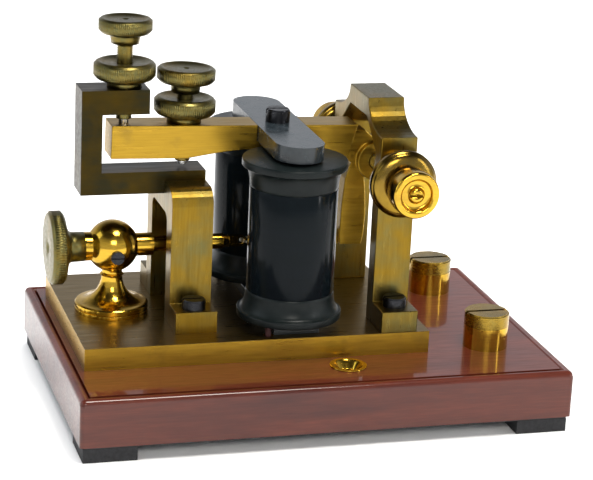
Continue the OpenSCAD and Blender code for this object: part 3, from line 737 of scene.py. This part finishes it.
class SOUNDER_OT_adjuster(Maker, bpy.types.Operator):
    """Finish the ball post, rod and clamp screw, turn the knurled nut and wind the spring"""
    bl_idname = "sounder.adjuster"
    bl_label = "Spring Adjuster"

    def execute(self, context):
        for node in ("ball_post", "tension_rod"):
            keep(node, width=FINE_EDGE)
        keep("clamp_screw")
        self.nut()
        self.spring()
        return {"FINISHED"}

    def nut(self):
        low, high = (Vector(c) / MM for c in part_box("tension_nut"))
        radius, length = (high.z - low.z) / 2, high.x - low.x
        thick = KNOB_THICK
        profile = [(0.01, 0.6), (1.3, 0.6), (1.9, 0.1)] + arc(5, 1.2, 2.2, 1.1, 250, 290, 4)
        profile += [(radius - 1.2, 0.05), (radius - 0.5, 0.2), (radius, 0.8), (radius, thick - 0.8),
                    (radius - 0.5, thick - 0.2), (radius - 1.2, thick), (6.7, thick),
                    (6.3, thick + 0.4), (6.2, thick + 1.0)]
        profile += arc(6.2, thick + 2.6, 1.6, 1.6, 270, 180, 5)
        profile += [(4.5, length), (2.45, length), (2.45, thick), (0.01, thick)]
        bm = knurl(turned(profile, sizes().knurl_count), radius)
        centre = Vector((low.x, (low.y + high.y) / 2, (low.z + high.z) / 2)) * MM
        piece(bm, "tension_nut_turned", "tension_nut", along(X, centre))

    def spring(self):
        low, high = (Vector(c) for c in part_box("tension_spring"))
        axis_y, axis_z = (low.y + high.y) / 2, (low.z + high.z) / 2
        wire, loop = sizes().wire, HOOK_R * MM
        coil = (high.z - low.z) / 2 - wire
        start = low.x + 2 * loop + HOOK_LEAD * MM
        end = high.x - 2 * loop - HOOK_LEAD * MM
        bm = bmesh.new()
        upright = Matrix.Rotation(math.pi / 2, 4, "X")
        ring = bmesh.ops.create_circle(
            bm, segments=WIRE_SIDES, radius=wire,
            matrix=Matrix.Translation((start, axis_y, axis_z + coil)) @ upright)
        edges = list({e for v in ring["verts"] for e in v.link_edges})
        turns = sizes().spring_turns
        steps = turns * 20
        bmesh.ops.spin(bm, geom=ring["verts"] + edges, axis=X, cent=(start, axis_y, axis_z),
                       angle=math.tau * turns, steps=steps, dvec=((end - start) / steps, 0, 0))
        for centre, sign in ((start - loop - HOOK_REACH * MM, -1), (end + loop + HOOK_REACH * MM, 1)):
            loop_ring = bmesh.ops.create_circle(
                bm, segments=WIRE_SIDES, radius=wire,
                matrix=Matrix.Translation((centre - sign * loop, axis_y, axis_z)) @ upright)
            loop_edges = list({e for v in loop_ring["verts"] for e in v.link_edges})
            bmesh.ops.spin(bm, geom=loop_ring["verts"] + loop_edges, axis=Z, cent=(centre, axis_y, axis_z),
                           angle=sign * math.radians(300), steps=30)
        bmesh.ops.holes_fill(bm, edges=[e for e in bm.edges if e.is_boundary], sides=WIRE_SIDES)
        piece(bm, "tension_spring_wound", "tension_spring")


class SOUNDER_OT_terminals(Maker, bpy.types.Operator):
    """Finish the two terminals, their slotted screws and the fixing ferrule"""
    bl_idname = "sounder.terminals"
    bl_label = "Terminals"

    def execute(self, context):
        for node in ("front_terminal", "rear_terminal", "front_terminal_screw", "rear_terminal_screw"):
            keep(node, width=CASTING_EDGE)
        keep("fixing_ferrule", width=FERRULE_EDGE)
        return {"FINISHED"}


class SOUNDER_OT_studio(Maker, bpy.types.Operator):
    """Lay the pale floor and set the soft lights and the camera"""
    bl_idname = "sounder.studio"
    bl_label = "Studio"

    def execute(self, context):
        self.floor()
        self.lights()
        self.camera(context)
        self.surroundings(context)
        return {"FINISHED"}

    def floor(self):
        bm = bmesh.new()
        bmesh.ops.create_grid(bm, x_segments=2, y_segments=2, size=6)
        mesh = bpy.data.meshes.new("floor")
        bm.to_mesh(mesh)
        bm.free()
        floor = bpy.data.objects.new("floor", mesh)
        bpy.context.scene.collection.objects.link(floor)
        f = Finish("floor")
        f.set(Base_Color=(*colours().floor, 1), Roughness=0.9, Specular_IOR_Level=0.1)
        dress(floor, f.material)

    def light(self, name, place, size, power, tone=(1, 1, 1), seen=True):
        """An area light aimed at the instrument; seen is whether brass and polish mirror it."""
        data = bpy.data.lights.new(name, "AREA")
        data.shape = "RECTANGLE"
        data.size, data.size_y = size
        data.energy = power
        data.color = tone
        lamp = bpy.data.objects.new(name, data)
        lamp.location = place
        lamp.rotation_euler = (Vector(LIGHT_TARGET) - Vector(place)).to_track_quat("-Z", "Y").to_euler()
        lamp.visible_glossy = seen
        bpy.context.scene.collection.objects.link(lamp)

    def lights(self):
        warm, cool = (1.0, 0.97, 0.90), (0.80, 0.92, 1.0)
        self.light("overhead", (0.1, 0.35, 1.6), (2.2, 2.2), 52, seen=False)
        self.light("top_panel", (0.12, -0.28, 0.85), (0.26, 0.22), 5, warm)
        self.light("window_left", (-1.0, 0.15, 0.55), (0.5, 0.8), 2.2, cool)
        self.light("front_soft", (-0.15, -1.3, 0.75), (0.5, 0.35), 7, warm)
        self.light("right_strip", (0.7, -0.55, 0.3), (0.06, 0.5), 1.6)

    def camera(self, context):
        yaw, pitch, roll = (math.radians(a) for a in CAMERA_YAW_PITCH_ROLL)
        ahead = Vector((math.sin(yaw) * math.cos(pitch), math.cos(yaw) * math.cos(pitch), -math.sin(pitch)))
        right = Vector((math.cos(yaw), -math.sin(yaw), 0))
        up = right.cross(ahead)
        across = right * math.cos(roll) + up * math.sin(roll)
        upright = up * math.cos(roll) - right * math.sin(roll)
        data = bpy.data.cameras.new("camera")
        data.lens = sizes().lens
        camera = bpy.data.objects.new("camera", data)
        camera.matrix_world = Matrix.Translation(CAMERA_PLACE) @ \
            Matrix((across, upright, -ahead)).transposed().to_4x4()
        context.scene.collection.objects.link(camera)
        context.scene.camera = camera

    def surroundings(self, context):
        context.scene.view_settings.view_transform = "Standard"
        world = bpy.data.worlds.new("studio")
        context.scene.world = world
        world.use_nodes = True
        nodes, links = world.node_tree.nodes, world.node_tree.links
        sky = nodes.new("ShaderNodeTexCoord")
        split = nodes.new("ShaderNodeSeparateXYZ")
        links.new(sky.outputs["Generated"], split.inputs["Vector"])
        ramp = nodes.new("ShaderNodeValToRGB")
        ends = ramp.color_ramp.elements
        ends[0].position, ends[0].color = 0.30, (0.85, 0.87, 0.92, 1)
        ends[1].position, ends[1].color = 0.75, (0.06, 0.06, 0.07, 1)
        links.new(split.outputs["Z"], ramp.inputs["Fac"])
        links.new(ramp.outputs["Color"], nodes["Background"].inputs["Color"])
        nodes["Background"].inputs["Strength"].default_value = 0.9


OPERATORS = (SOUNDER_OT_studio, SOUNDER_OT_base, SOUNDER_OT_plate, SOUNDER_OT_coils, SOUNDER_OT_leads,
             SOUNDER_OT_lever, SOUNDER_OT_stops, SOUNDER_OT_pivots, SOUNDER_OT_adjuster,
             SOUNDER_OT_terminals)


class SOUNDER_PT_panel(bpy.types.Panel):
    """Lists the sounder's sizes, colours and operators"""
    bl_idname = "SOUNDER_PT_panel"
    bl_label = "Telegraph Sounder"
    bl_space_type = "VIEW_3D"
    bl_region_type = "UI"
    bl_category = "Sounder"

    def draw(self, context):
        column = self.layout.column()
        for group in (context.scene.sounder_sizes, context.scene.sounder_colours):
            for name in group.__annotations__:
                column.prop(group, name)
        for operator in OPERATORS:
            column.operator(operator.bl_idname)


CLASSES = (SounderSizes, SounderColours, *OPERATORS, SOUNDER_PT_panel)


def register():
    for cls in CLASSES:
        bpy.utils.register_class(cls)
    bpy.types.Scene.sounder_sizes = PointerProperty(type=SounderSizes)
    bpy.types.Scene.sounder_colours = PointerProperty(type=SounderColours)


def unregister():
    del bpy.types.Scene.sounder_colours
    del bpy.types.Scene.sounder_sizes
    for cls in reversed(CLASSES):
        bpy.utils.unregister_class(cls)


def main():
    register()
    for operator in OPERATORS:
        group, name = operator.bl_idname.split(".")
        getattr(getattr(bpy.ops, group), name)()


if __name__ == "__main__":
    main()
